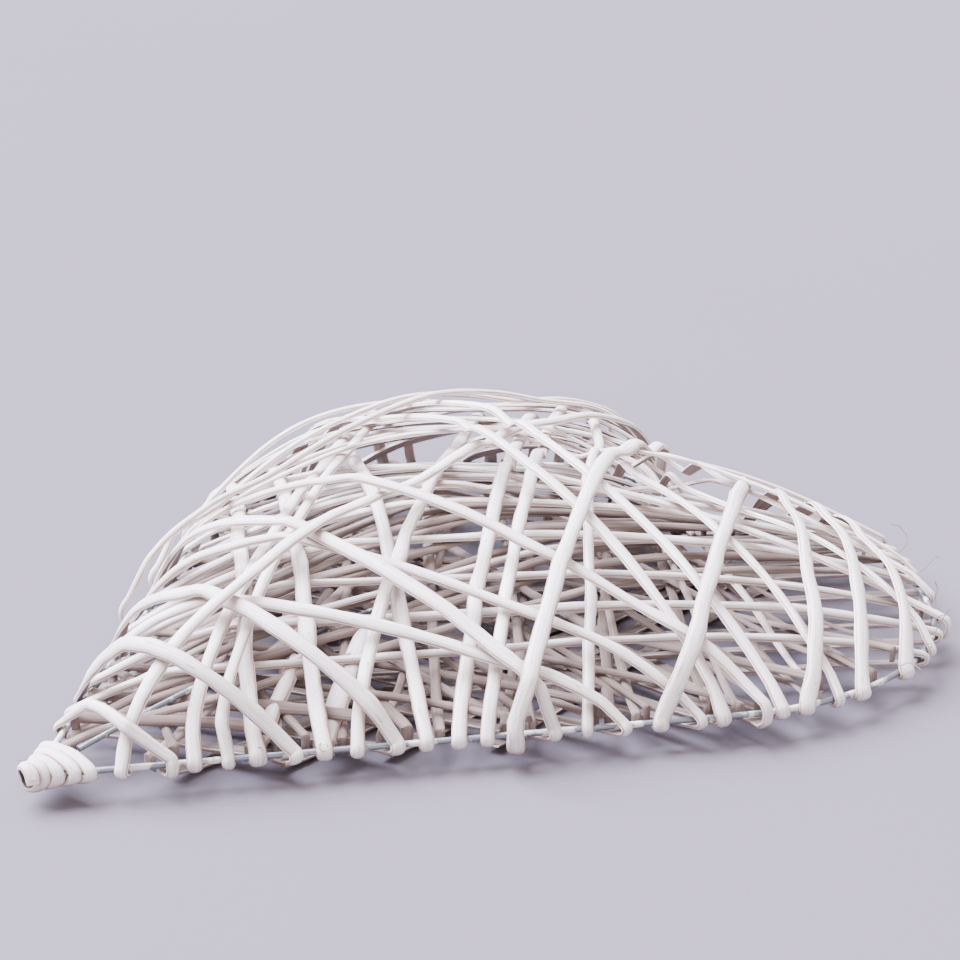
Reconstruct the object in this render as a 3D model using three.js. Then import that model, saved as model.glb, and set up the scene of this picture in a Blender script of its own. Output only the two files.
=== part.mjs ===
// A wicker heart ornament: a wire heart wound with split willow canes, domed in front and flat behind.
// Millimetres, +Z up, the front facing up. The heart's axis runs along +Y from the tip to the cleft.
import * as THREE from 'three';

// Outline of the rim wire, as arcs and straight runs on each side of the axis
const SIDE_ANGLE = THREE.MathUtils.degToRad(35);
const SHOULDER_RADIUS = 84;
const SHOULDER_CENTRE = new THREE.Vector2(42.5, 207);
const SHOULDER_TURN = THREE.MathUtils.degToRad(48);
const BROW_RUN = 30;
const LOBE_RADIUS = 38;
const LOBE_TURN = THREE.MathUtils.degToRad(150);

// Wires
const RIM_WIRE_RADIUS = 0.9;
const RIDGE_WIRE_RADIUS = 0.8;
const RIDGE_RISE = 11;
const RIDGE_END_SHORT = 3.6;
const RIDGE_STEPS = 14;
const WIRE_SIDES = 6;
const RIM_STEP = 12;

// Canes: split willow, with a flat inner face and a narrower rounded-off outer face
const CANE_WIDTH = 5;
const CANE_CROWN_WIDTH = 3.2;
const CANE_THICKNESS = 1.6;
const GAP = 0.3;
const LAY_GAP = 1.3;

// The dome that the first canes lie on, highest a little to one side of the axis
const DOME_PEAK = new THREE.Vector2(-22, 175);
const DOME_HEIGHT = 29.88;
const DOME_POWER = 1.14;
const FAN_DEPTH = 150;

// How canes bend: they bridge between crossings, from taut (0) to arched (1), and come down to the rim
const STIFFNESS = 0.82;
const BACK_RAMP = 30;
const RIM_LEAN = 0.5;
const RIM_HANDLE = 18;
const FRONT_STEPS = 14;
const BACK_STEPS = 7;
const WRAP_STEPS = 4;
const END_CROWDING = 0.5;
const HOOK_END = THREE.MathUtils.degToRad(-115);
const WRAP_END = THREE.MathUtils.degToRad(-90);
const BACK_END_SHORT = 9;

// Tip binding: a narrow cane wound round the two wires where they meet
const BINDING_WIDTH = 3;
const BINDING_CROWN_WIDTH = 2.2;
const BINDING_THICKNESS = 1.3;
const BINDING_SLACK = 1.8;
const BINDING_PITCH = 3.4;
const BINDING_START = -3;
const BINDING_TURNS = 4.6;
const BINDING_STEPS_PER_TURN = 12;

// Winding order, innermost first. Each cane has the places where its front run starts and ends and, where it
// goes on across the back, the place where that run ends: mm along the rim wire from the tip, positive on
// the near side and negative on the far side. Canes of a group don't cross one another on the back.
const WINDING = [
  {
    name: 'long',
    canes: [
      [-41, 267, -46], [-61, 286, -66], [-82, 301, -87], [-101, 327, -107], [-122, 347, -128],
      [-143, 358, -148], [-172, 371, -168], [-196, -420], [-228, -410],
    ],
  },
  { name: 'cross', canes: [[-207, 292]] },
  { name: 'upright', canes: [[60, -220], [78, -241], [106, -268], [226, -318]] },
  { name: 'ridge', canes: [[-310, 275], [-279, 319]] },
  { name: 'rising', canes: [[43, -288], [52, -298], [87, -326], [115, -341], [123, -350], [151, -358]] },
  {
    name: 'falling',
    canes: [
      [-72, 160, -118], [-112, 182, -150], [-90, 97, -61], [-133, 141, -92], [24, -400], [-31, 35],
      [-51, 69, -41], [-249, 190, -180], [-260, 207, -250], [-153, 199, -215],
    ],
  },
  {
    name: 'steep',
    canes: [[131, -432, -71], [172, 420, 30], [215, 412, 60], [235, 399, 90], [256, 388, 120]],
  },
  { name: 'outer', canes: [[-117, -391], [-148, -381], [-182, -371]] },
];

// Finishes: satin white paint on the canes, bare galvanised wire
const CANE_COLOUR = 0xe6e3e2;
const BINDING_COLOUR = 0xdedad7;
const PAINT_ROUGHNESS = 0.62;
const WIRE_COLOUR = 0x8b9099;
const WIRE_ROUGHNESS = 0.45;
const WIRE_METALNESS = 0.8;

const WIRE_CLEARANCE = RIM_WIRE_RADIUS + GAP;
const SEAT = WIRE_CLEARANCE + CANE_THICKNESS / 2;
const UP = new THREE.Vector3(0, 0, 1);

// Half of the outline, from the tip along the near side to the cleft
function halfOutline() {
  const shoulderEnd = new THREE.Vector2(Math.cos(SHOULDER_TURN), Math.sin(SHOULDER_TURN));
  const browStart = shoulderEnd.clone().multiplyScalar(SHOULDER_RADIUS).add(SHOULDER_CENTRE);
  const browEnd = new THREE.Vector2(-shoulderEnd.y, shoulderEnd.x).multiplyScalar(BROW_RUN).add(browStart);
  const lobeCentre = shoulderEnd.clone().multiplyScalar(-LOBE_RADIUS).add(browEnd);
  const lobeEnd = new THREE.Vector2(Math.cos(LOBE_TURN), Math.sin(LOBE_TURN))
    .multiplyScalar(LOBE_RADIUS)
    .add(lobeCentre);
  const cleftY = lobeEnd.y + lobeEnd.x / Math.tan(LOBE_TURN);
  const { x, y } = SHOULDER_CENTRE;
  const path = new THREE.Path();
  path.moveTo(0, 0);
  path.lineTo(x + SHOULDER_RADIUS * Math.cos(SIDE_ANGLE), y - SHOULDER_RADIUS * Math.sin(SIDE_ANGLE));
  path.absarc(x, y, SHOULDER_RADIUS, -SIDE_ANGLE, SHOULDER_TURN, false);
  path.absarc(lobeCentre.x, lobeCentre.y, LOBE_RADIUS, SHOULDER_TURN, LOBE_TURN, false);
  path.lineTo(0, cleftY);
  return path;
}

const HALF = halfOutline();
const HALF_LENGTH = HALF.getLength();

// Place on the rim at a signed distance along the wire from the tip, with its outward direction
function rimAt(distance) {
  const side = Math.sign(distance) || 1;
  const along = Math.min(Math.abs(distance) / HALF_LENGTH, 1);
  const point = HALF.getPointAt(along);
  const tangent = HALF.getTangentAt(along);
  return {
    point: new THREE.Vector2(side * point.x, point.y),
    outward: new THREE.Vector2(side * tangent.y, -tangent.x),
  };
}

// Reach of the outline from the dome's peak, by direction
const OUTLINE_SAMPLES = 720;

function outlineReach() {
  const reach = [];
  for (let i = 0; i < OUTLINE_SAMPLES; i += 1) {
    const distance = ((i + 0.5) / OUTLINE_SAMPLES) * 2 * HALF_LENGTH - HALF_LENGTH;
    const offset = rimAt(distance).point.sub(DOME_PEAK);
    reach.push({ angle: Math.atan2(offset.y, offset.x), radius: offset.length() });
  }
  reach.sort((a, b) => a.angle - b.angle);
  const first = reach[0];
  const last = reach[reach.length - 1];
  reach.unshift({ angle: last.angle - 2 * Math.PI, radius: last.radius });
  reach.push({ angle: first.angle + 2 * Math.PI, radius: first.radius });
  return reach;
}

const REACH = outlineReach();

function reachAt(angle) {
  let low = 0;
  let high = REACH.length - 1;
  while (high - low > 1) {
    const middle = (low + high) >> 1;
    if (REACH[middle].angle <= angle) low = middle;
    else high = middle;
  }
  const part = (angle - REACH[low].angle) / (REACH[high].angle - REACH[low].angle);
  return THREE.MathUtils.lerp(REACH[low].radius, REACH[high].radius, part);
}

function domeHeight(x, y) {
  const dx = x - DOME_PEAK.x;
  const dy = y - DOME_PEAK.y;
  const share = Math.min(Math.hypot(dx, dy) / reachAt(Math.atan2(dy, dx)), 1);
  return DOME_HEIGHT * (1 - share ** DOME_POWER);
}

// Layers over the dome fan out from a focus far below its peak, so they never run into one another
function domeOutward(x, y) {
  return new THREE.Vector3(x - DOME_PEAK.x, y - DOME_PEAK.y, FAN_DEPTH).normalize();
}

// The two faces of the heart that canes are laid on
const FRONT = {
  height: domeHeight,
  outward: domeOutward,
  laid: new Map(),
};
const BACK = {
  height: () => 0,
  outward: () => UP.clone().negate(),
  laid: new Map(),
};

// A record, in small cells of the plan, of how high the canes laid so far stand above a face
const CELL = 2;
const FOOT_MARGIN = 2;
const SAMPLE_STEP = 2;

function footCells(sample, halfWidth) {
  const cells = new Set();
  for (let across = -halfWidth; across <= halfWidth; across += CELL / 2) {
    const column = Math.round((sample.point.x - sample.heading.y * across) / CELL);
    const row = Math.round((sample.point.y + sample.heading.x * across) / CELL);
    cells.add(`${column},${row}`);
  }
  return cells;
}

function heightUnder(face, sample) {
  let height = 0;
  for (const cell of footCells(sample, CANE_WIDTH / 2 + FOOT_MARGIN)) {
    height = Math.max(height, face.laid.get(cell) ?? 0);
  }
  return height;
}

// Centre of a cane over one sample of a pass
function seatOn(face, sample) {
  const { x, y } = sample.point;
  const centre = new THREE.Vector3(x, y, face.height(x, y));
  return centre.addScaledVector(face.outward(x, y), SEAT + sample.lift);
}

// A sloping cane is thicker when measured along the direction in which layers fan out
function recordPass(face, pass) {
  const { samples } = pass;
  const last = samples.length - 1;
  const centres = samples.map((sample) => seatOn(face, sample));
  samples.forEach((sample, i) => {
    const run = centres[Math.min(i + 1, last)].clone().sub(centres[Math.max(i - 1, 0)]).normalize();
    const rise = run.dot(face.outward(sample.point.x, sample.point.y));
    const depth = CANE_THICKNESS / Math.sqrt(1 - rise * rise);
    const top = sample.lift + depth + LAY_GAP;
    for (const cell of footCells(sample, CANE_WIDTH / 2)) {
      face.laid.set(cell, Math.max(face.laid.get(cell) ?? 0, top));
    }
  });
}

// The plan of one pass across a face: a straight run whose ends turn towards the rim's normal
function planPass(start, end) {
  const from = rimAt(start);
  const to = rimAt(end);
  const chord = to.point.clone().sub(from.point);
  const direction = chord.clone().normalize();
  const leave = direction.clone().multiplyScalar(1 - RIM_LEAN).addScaledVector(from.outward, -RIM_LEAN);
  const arrive = direction.clone().multiplyScalar(1 - RIM_LEAN).addScaledVector(to.outward, RIM_LEAN);
  const handle = Math.min(RIM_HANDLE, chord.length() / 3);
  const curve = new THREE.CubicBezierCurve(
    from.point,
    from.point.clone().addScaledVector(leave.normalize(), handle),
    to.point.clone().addScaledVector(arrive.normalize(), -handle),
    to.point,
  );
  const length = curve.getLength();
  const count = Math.ceil(length / SAMPLE_STEP);
  const samples = [];
  for (let i = 0; i <= count; i += 1) {
    samples.push({
      at: (i / count) * length,
      point: curve.getPointAt(i / count),
      heading: curve.getTangentAt(i / count),
      lift: 0,
    });
  }
  return { length, samples, from, to, leave, arrive };
}

// Lift a pass clear of what it crosses: from each high place a springy strip falls away to its two ends,
// a little rounder than a taut string
function liftPass(face, pass, needs) {
  const { samples, length } = pass;
  const base = samples.map((sample) => face.height(sample.point.x, sample.point.y));
  samples.forEach((sample, i) => {
    samples.forEach((other, j) => {
      const height = base[j] + needs[j];
      const toEnd = sample.at < other.at ? other.at : length - other.at;
      const part = Math.abs(sample.at - other.at) / Math.max(toEnd, SAMPLE_STEP);
      const fall = height * THREE.MathUtils.lerp(part, part * part, STIFFNESS);
      sample.lift = Math.max(sample.lift, height - fall - base[i]);
    });
  });
}

// Sample of a pass at a distance along it
function sampleAt(pass, at) {
  const place = (at / pass.length) * (pass.samples.length - 1);
  const low = Math.min(Math.floor(place), pass.samples.length - 2);
  const part = place - low;
  const a = pass.samples[low];
  const b = pass.samples[low + 1];
  return {
    point: a.point.clone().lerp(b.point, part),
    lift: THREE.MathUtils.lerp(a.lift, b.lift, part),
  };
}

// A station of a cane: its centre and the direction its rounded face looks
function stationOn(face, pass, at) {
  const sample = sampleAt(pass, at);
  return { centre: seatOn(face, sample), normal: face.outward(sample.point.x, sample.point.y) };
}

function innerStations(face, pass, steps, last = pass.length) {
  const stations = [];
  for (let i = 1; i < steps; i += 1) {
    const even = i / steps;
    const eased = (1 - Math.cos(Math.PI * even)) / 2;
    stations.push(stationOn(face, pass, last * THREE.MathUtils.lerp(even, eased, END_CROWDING)));
  }
  return stations;
}

// The turn of a cane round the rim wire, from the front to a given angle behind
function rimTurn(rim, heading, frontLift, backLift, endAngle) {
  const lean = FRONT.outward(rim.point.x, rim.point.y);
  const startAngle = Math.atan2(lean.z, Math.hypot(lean.x, lean.y));
  const across = Math.abs(heading.dot(rim.outward));
  const skew = Math.sqrt(1 - across * across) / across;
  const reach = WIRE_CLEARANCE / across + (CANE_WIDTH / 2) * skew + CANE_THICKNESS / 2;
  const stations = [];
  for (let i = 0; i <= WRAP_STEPS; i += 1) {
    const part = i / WRAP_STEPS;
    const angle = THREE.MathUtils.lerp(startAngle, endAngle, part);
    const lift = THREE.MathUtils.lerp(frontLift, backLift, part);
    const outward = new THREE.Vector3(heading.x, heading.y, 0);
    const centre = new THREE.Vector3(rim.point.x, rim.point.y, 0);
    centre.addScaledVector(outward, (reach + lift) * Math.cos(angle));
    centre.addScaledVector(UP, (SEAT + lift) * Math.sin(angle));
    const normal = outward.clone().multiplyScalar(Math.cos(angle)).addScaledVector(UP, Math.sin(angle));
    stations.push({ centre, normal });
  }
  return stations;
}

// A path through stations, which turns its section so that the rounded face looks along each normal
class StripPath extends THREE.Curve {
  constructor(stations) {
    super();
    this.stations = stations;
  }

  getSpacedPoints() {
    return this.stations.map((station) => station.centre);
  }

  computeFrenetFrames() {
    const tangents = [];
    const normals = [];
    const binormals = [];
    this.stations.forEach((station, i) => {
      const before = this.stations[Math.max(i - 1, 0)].centre;
      const after = this.stations[Math.min(i + 1, this.stations.length - 1)].centre;
      const tangent = after.clone().sub(before).normalize();
      const face = station.normal.clone().addScaledVector(tangent, -station.normal.dot(tangent)).normalize();
      tangents.push(tangent);
      normals.push(face.clone().cross(tangent).normalize());
      binormals.push(face);
    });
    return { tangents, normals, binormals };
  }
}

function stripSection(width, crown, thickness) {
  const section = new THREE.Shape();
  section.moveTo(-width / 2, -thickness / 2);
  section.lineTo(width / 2, -thickness / 2);
  section.lineTo(crown / 2, thickness / 2);
  section.lineTo(-crown / 2, thickness / 2);
  section.closePath();
  return section;
}

function strip(section, stations) {
  const extrudePath = new StripPath(stations);
  return new THREE.ExtrudeGeometry(section, { steps: stations.length - 1, extrudePath });
}

// Lay every cane of the winding: first the front runs, in order, then the back runs, one level to a group
function windCanes() {
  const canes = [];
  WINDING.forEach((group) => {
    group.canes.forEach(([start, end, backEnd]) => {
      const front = planPass(start, end);
      liftPass(FRONT, front, front.samples.map((sample) => heightUnder(FRONT, sample)));
      recordPass(FRONT, front);
      const back = backEnd ? planPass(end, backEnd) : null;
      canes.push({ group, front, back });
    });
  });
  WINDING.forEach((group) => {
    const backs = canes.filter((cane) => cane.group === group && cane.back).map((cane) => cane.back);
    const needs = backs.map((back) => back.samples.map((sample) => heightUnder(BACK, sample)));
    const level = Math.max(...needs.flat());
    backs.forEach((back, i) => {
      const held = back.samples.map((sample, j) => {
        const toEnd = Math.min(sample.at, back.length - sample.at);
        return toEnd >= BACK_RAMP ? level : needs[i][j];
      });
      liftPass(BACK, back, held);
      recordPass(BACK, back);
    });
  });
  return canes;
}

function caneStations({ front, back }) {
  const first = front.samples[0];
  const last = front.samples[front.samples.length - 1];
  const hook = rimTurn(front.from, front.leave.clone().negate(), first.lift, 0, HOOK_END).reverse();
  const stations = [...hook, ...innerStations(FRONT, front, FRONT_STEPS)];
  if (!back) {
    return [...stations, ...rimTurn(front.to, front.arrive, last.lift, 0, HOOK_END)];
  }
  const backLift = back.samples[0].lift;
  stations.push(...rimTurn(front.to, front.arrive, last.lift, backLift, WRAP_END));
  const reach = back.length - BACK_END_SHORT;
  stations.push(...innerStations(BACK, back, BACK_STEPS, reach));
  stations.push(stationOn(BACK, back, reach));
  return stations;
}

// The rim wire: its two ends meet inside the tip binding
function rimWire() {
  const ends = WIRE_CLEARANCE / Math.sin(SIDE_ANGLE);
  const count = Math.round((2 * HALF_LENGTH) / RIM_STEP);
  const points = [];
  for (let i = 0; i <= count; i += 1) {
    const distance = THREE.MathUtils.lerp(ends - HALF_LENGTH, HALF_LENGTH - ends, i / count);
    const fromTip = distance < 0 ? -HALF_LENGTH - distance : HALF_LENGTH - distance;
    const { point } = rimAt(fromTip);
    points.push(new THREE.Vector3(point.x, point.y, 0));
  }
  return points;
}

// The ridge wire: a low arch from the tip to the cleft, under the dome
function ridgeWire() {
  const cleft = HALF.getPointAt(1).y;
  const start = BINDING_PITCH * BINDING_TURNS;
  const end = cleft - RIDGE_END_SHORT;
  const points = [];
  for (let i = 0; i <= RIDGE_STEPS; i += 1) {
    const y = THREE.MathUtils.lerp(start, end, i / RIDGE_STEPS);
    const part = y / cleft;
    points.push(new THREE.Vector3(0, y, 4 * RIDGE_RISE * part * (1 - part)));
  }
  return points;
}

function wire(points, radius) {
  const stations = points.map((centre) => ({ centre, normal: UP.clone() }));
  const section = new THREE.Shape();
  for (let i = 0; i < WIRE_SIDES; i += 1) {
    const angle = (i / WIRE_SIDES) * 2 * Math.PI;
    const corner = [radius * Math.cos(angle), radius * Math.sin(angle)];
    if (i === 0) section.moveTo(...corner);
    else section.lineTo(...corner);
  }
  section.closePath();
  return strip(section, stations);
}

// The tip binding: turns that widen as the two wires part
function tipBinding() {
  const stations = [];
  const count = Math.round(BINDING_TURNS * BINDING_STEPS_PER_TURN);
  for (let i = 0; i <= count; i += 1) {
    const turn = i / BINDING_STEPS_PER_TURN;
    const y = BINDING_START + BINDING_PITCH * turn;
    const angle = turn * 2 * Math.PI;
    const tall = SEAT + BINDING_SLACK;
    const wide = Math.max(y, 0) * Math.tan(SIDE_ANGLE) + tall;
    const normal = new THREE.Vector3(Math.cos(angle) / wide, 0, Math.sin(angle) / tall).normalize();
    stations.push({
      centre: new THREE.Vector3(wide * Math.cos(angle), y, tall * Math.sin(angle)),
      normal,
    });
  }
  return strip(stripSection(BINDING_WIDTH, BINDING_CROWN_WIDTH, BINDING_THICKNESS), stations);
}

function finish(color, roughness, metalness) {
  return new THREE.MeshStandardMaterial({ color, roughness, metalness });
}

const heart = new THREE.Group();
const paintedCane = finish(CANE_COLOUR, PAINT_ROUGHNESS, 0);
const paintedBinding = finish(BINDING_COLOUR, PAINT_ROUGHNESS, 0);
const galvanisedWire = finish(WIRE_COLOUR, WIRE_ROUGHNESS, WIRE_METALNESS);

function addPiece(name, geometry, material) {
  const mesh = new THREE.Mesh(geometry, material);
  mesh.name = name;
  heart.add(mesh);
}

addPiece('rim_wire', wire(rimWire(), RIM_WIRE_RADIUS), galvanisedWire);
addPiece('ridge_wire', wire(ridgeWire(), RIDGE_WIRE_RADIUS), galvanisedWire);
addPiece('tip_binding', tipBinding(), paintedBinding);
const caneSection = stripSection(CANE_WIDTH, CANE_CROWN_WIDTH, CANE_THICKNESS);
windCanes().forEach((cane, i) => {
  const number = String(i + 1).padStart(2, '0');
  addPiece(`cane_${cane.group.name}_${number}`, strip(caneSection, caneStations(cane)), paintedCane);
});

// Stand the heart on its lowest canes, with the origin under its middle
const box = new THREE.Box3().setFromObject(heart);
const middle = box.getCenter(new THREE.Vector3());
heart.position.set(-middle.x, -middle.y, -box.min.z);

export default heart;
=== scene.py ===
# %% [markdown]
# # A wicker heart ornament
#
# The real thing is a heart bent from galvanised wire and wound over and over with split willow canes,
# then sprayed white. It lies on its flat back, and its front is a loose dome of crossing canes.
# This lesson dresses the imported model: every solid gets a finer piece in the same place.

# %% Load the frame
import math
import random

import bpy
import numpy as np
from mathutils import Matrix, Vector


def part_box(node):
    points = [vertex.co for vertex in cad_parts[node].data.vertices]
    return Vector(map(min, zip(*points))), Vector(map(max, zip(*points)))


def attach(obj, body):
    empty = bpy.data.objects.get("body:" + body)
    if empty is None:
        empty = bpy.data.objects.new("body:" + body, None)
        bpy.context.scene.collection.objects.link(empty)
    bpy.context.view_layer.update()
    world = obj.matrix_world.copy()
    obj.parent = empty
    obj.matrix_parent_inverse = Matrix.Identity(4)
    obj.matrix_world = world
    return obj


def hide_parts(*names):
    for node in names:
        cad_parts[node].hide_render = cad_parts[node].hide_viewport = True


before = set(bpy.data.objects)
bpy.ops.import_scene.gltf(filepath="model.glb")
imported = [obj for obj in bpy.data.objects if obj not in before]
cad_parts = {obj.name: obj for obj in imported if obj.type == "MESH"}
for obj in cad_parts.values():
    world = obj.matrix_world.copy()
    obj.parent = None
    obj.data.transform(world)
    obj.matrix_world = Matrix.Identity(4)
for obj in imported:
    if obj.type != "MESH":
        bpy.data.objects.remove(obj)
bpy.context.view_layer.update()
print("nodes in the frame:", len(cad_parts))

# %% [markdown]
# ## Where the heart lies
#
# All sizes here are in millimetres, with the heart's tip at zero and the rim wire's middle at height zero.
# The frame holds the same heart moved so that its lowest canes touch the floor, so the box of the rim wire
# tells how far everything has moved. One function takes a point from millimetres to the frame.

# %% Sizes and the shift into the frame
MM = 0.001
SIDE_ANGLE = math.radians(35)
SHOULDER_RADIUS = 84
SHOULDER_CENTRE = np.array((42.5, 207))
SHOULDER_TURN = math.radians(48)
BROW_RUN = 30
LOBE_RADIUS = 38
LOBE_TURN = math.radians(150)
RIM_WIRE_RADIUS = 0.9
OUTLINE_STEP = 0.5


def arc(centre, radius, start, end):
    count = max(2, int(abs(end - start) * radius / OUTLINE_STEP))
    turn = np.linspace(start, end, count)
    return centre + radius * np.column_stack((np.cos(turn), np.sin(turn)))


def half_outline():
    """Points along the rim from the tip by the near side to the cleft."""
    out = np.array((math.cos(SHOULDER_TURN), math.sin(SHOULDER_TURN)))
    along = np.array((-out[1], out[0]))
    brow_end = SHOULDER_CENTRE + SHOULDER_RADIUS * out + BROW_RUN * along
    lobe_centre = brow_end - LOBE_RADIUS * out
    shoulder = arc(SHOULDER_CENTRE, SHOULDER_RADIUS, -SIDE_ANGLE, SHOULDER_TURN)
    lobe = arc(lobe_centre, LOBE_RADIUS, SHOULDER_TURN, LOBE_TURN)
    cleft_y = lobe[-1][1] + lobe[-1][0] / math.tan(LOBE_TURN)
    return np.vstack(([(0, 0)], shoulder, lobe, [(0, cleft_y)]))


HALF = half_outline()
HALF_AT = np.concatenate(([0], np.cumsum(np.linalg.norm(np.diff(HALF, axis=0), axis=1))))
HALF_LENGTH = HALF_AT[-1]
rim_low, rim_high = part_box("rim_wire")
shift = np.array((
    (rim_low.x + rim_high.x) / 2 / MM,
    rim_high.y / MM - HALF[:, 1].max() - RIM_WIRE_RADIUS,
    (rim_low.z + rim_high.z) / 2 / MM,
))


def place(points):
    """Millimetres in the heart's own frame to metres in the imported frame."""
    return (np.asarray(points, float) + shift) * MM


print("half of the rim is", round(HALF_LENGTH, 1), "mm long; shift", shift.round(2))

# %% [markdown]
# ## The camera
#
# The photograph looks along the floor at one side of the heart through a long lens. The camera's place was
# found from the outline of the rim. A 105 mm lens on a 36 mm wide picture gives the photograph's frame.

# %% Camera
CAMERA_PLACE = (548.77, -415.04, 309.39)
CAMERA_LOOK = Vector((-0.64676, 0.69356, -0.3173))
LENS_MM = 105
PICTURE_WIDTH_MM = 36
FARTHEST_SEEN = 50
bpy.ops.object.select_all(action="DESELECT")
bpy.ops.object.camera_add(
    location=place(CAMERA_PLACE),
    rotation=CAMERA_LOOK.to_track_quat("-Z", "Y").to_euler(),
)
camera = bpy.context.object
camera.data.lens = LENS_MM
camera.data.sensor_width = PICTURE_WIDTH_MM
camera.data.clip_end = FARTHEST_SEEN
bpy.context.scene.camera = camera
print("camera at", tuple(round(c, 3) for c in camera.location))

# %% [markdown]
# ## How the canes are wound
#
# Each cane goes once across the front of the wire heart, turns round the wire, and some go on across
# the back. The list has the same numbers as the solids: millimetres along the rim from the tip, positive
# on the near side. Canes are laid in order over a smooth dome, and each one is lifted over the canes
# already there. A grid of small cells remembers how high those stand, which is quicker than testing
# meshes for contact.

# %% Winding list
CANE_WIDTH = 5
CANE_THICKNESS = 1.6
GAP = 0.3
LAY_GAP = 1.3
DOME_PEAK = np.array((-22, 175))
DOME_HEIGHT = 29.88
DOME_POWER = 1.14
FAN_DEPTH = 150
STIFFNESS = 0.82
BACK_RAMP = 30
RIM_LEAN = 0.5
RIM_HANDLE = 18
HOOK_END = math.radians(-115)
WRAP_END = math.radians(-90)
BACK_END_SHORT = 9
WIRE_CLEARANCE = RIM_WIRE_RADIUS + GAP
SEAT = WIRE_CLEARANCE + CANE_THICKNESS / 2
WINDING = {
    "long": [
        (-41, 267, -46), (-61, 286, -66), (-82, 301, -87), (-101, 327, -107), (-122, 347, -128),
        (-143, 358, -148), (-172, 371, -168), (-196, -420), (-228, -410),
    ],
    "cross": [(-207, 292)],
    "upright": [(60, -220), (78, -241), (106, -268), (226, -318)],
    "ridge": [(-310, 275), (-279, 319)],
    "rising": [(43, -288), (52, -298), (87, -326), (115, -341), (123, -350), (151, -358)],
    "falling": [
        (-72, 160, -118), (-112, 182, -150), (-90, 97, -61), (-133, 141, -92), (24, -400), (-31, 35),
        (-51, 69, -41), (-249, 190, -180), (-260, 207, -250), (-153, 199, -215),
    ],
    "steep": [(131, -432, -71), (172, 420, 30), (215, 412, 60), (235, 399, 90), (256, 388, 120)],
    "outer": [(-117, -391), (-148, -381), (-182, -371)],
}


def rim_at(distance):
    """Place on the rim and its outward direction, at a signed distance along the wire from the tip."""
    side = -1 if distance < 0 else 1
    at = min(abs(distance), HALF_LENGTH)
    ends = [np.array([np.interp(np.clip(at + d, 0, HALF_LENGTH), HALF_AT, HALF[:, i]) for i in (0, 1)])
            for d in (0, -OUTLINE_STEP, OUTLINE_STEP)]
    tangent = ends[2] - ends[1]
    tangent /= np.linalg.norm(tangent)
    return np.array((side * ends[0][0], ends[0][1])), np.array((side * tangent[1], -tangent[0]))


OUTLINE_SAMPLES = 720
rim_offsets = np.array([
    rim_at((i + 0.5) / OUTLINE_SAMPLES * 2 * HALF_LENGTH - HALF_LENGTH)[0] - DOME_PEAK
    for i in range(OUTLINE_SAMPLES)
])
reach_angle = np.arctan2(rim_offsets[:, 1], rim_offsets[:, 0])
reach_order = np.argsort(reach_angle)
REACH_ANGLE = reach_angle[reach_order]
REACH = np.linalg.norm(rim_offsets, axis=1)[reach_order]


def dome_height(points):
    offset = points - DOME_PEAK
    reach = np.interp(np.arctan2(offset[:, 1], offset[:, 0]), REACH_ANGLE, REACH, period=2 * math.pi)
    share = np.minimum(np.linalg.norm(offset, axis=1) / reach, 1)
    return DOME_HEIGHT * (1 - share ** DOME_POWER)


def dome_outward(points):
    """Layers over the dome fan out from a focus far below its peak."""
    fan = np.column_stack((points - DOME_PEAK, np.full(len(points), FAN_DEPTH)))
    return fan / np.linalg.norm(fan, axis=1)[:, None]


def back_height(points):
    return np.zeros(len(points))


def back_outward(points):
    return np.tile((0.0, 0.0, -1.0), (len(points), 1))


FRONT = {"height": dome_height, "outward": dome_outward, "laid": {}}
BACK = {"height": back_height, "outward": back_outward, "laid": {}}
CELL = 2
FOOT_MARGIN = 2
SAMPLE_STEP = 2
print("canes to wind:", sum(len(canes) for canes in WINDING.values()))

# %% [markdown]
# ## Plans and lifts
#
# Seen from above, a cane is nearly straight and leans to the rim's normal at its two ends, which a Bezier
# curve with short handles gives. Seen from the side it is a springy arch: from each high place it falls
# away to both ends, a little rounder than a taut string, and the lift anywhere is the highest of all
# those arches.

# %% Plan and lift functions
CURVE_POINTS = 801


def plan_pass(start, end):
    """A cane's line as seen from above, from one place on the rim to another, in even steps."""
    start_point, start_out = rim_at(start)
    end_point, end_out = rim_at(end)
    chord = end_point - start_point
    direction = chord / np.linalg.norm(chord)
    leave = direction * (1 - RIM_LEAN) - start_out * RIM_LEAN
    arrive = direction * (1 - RIM_LEAN) + end_out * RIM_LEAN
    leave /= np.linalg.norm(leave)
    arrive /= np.linalg.norm(arrive)
    handle = min(RIM_HANDLE, np.linalg.norm(chord) / 3)
    t = np.linspace(0, 1, CURVE_POINTS)[:, None]
    u = 1 - t
    first_handle = start_point + leave * handle
    last_handle = end_point - arrive * handle
    curve = (
        u ** 3 * start_point
        + 3 * u ** 2 * t * first_handle
        + 3 * u * t ** 2 * last_handle
        + t ** 3 * end_point
    )
    at = np.concatenate(([0], np.cumsum(np.linalg.norm(np.diff(curve, axis=0), axis=1))))
    count = math.ceil(at[-1] / SAMPLE_STEP)
    even = np.linspace(0, at[-1], count + 1)
    points = np.column_stack([np.interp(even, at, curve[:, i]) for i in (0, 1)])
    heading = np.gradient(points, axis=0)
    heading /= np.linalg.norm(heading, axis=1)[:, None]
    return {"at": even, "length": at[-1], "points": points, "heading": heading, "lift": np.zeros(count + 1),
            "from": (start_point, start_out), "to": (end_point, end_out), "leave": leave, "arrive": arrive}


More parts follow.
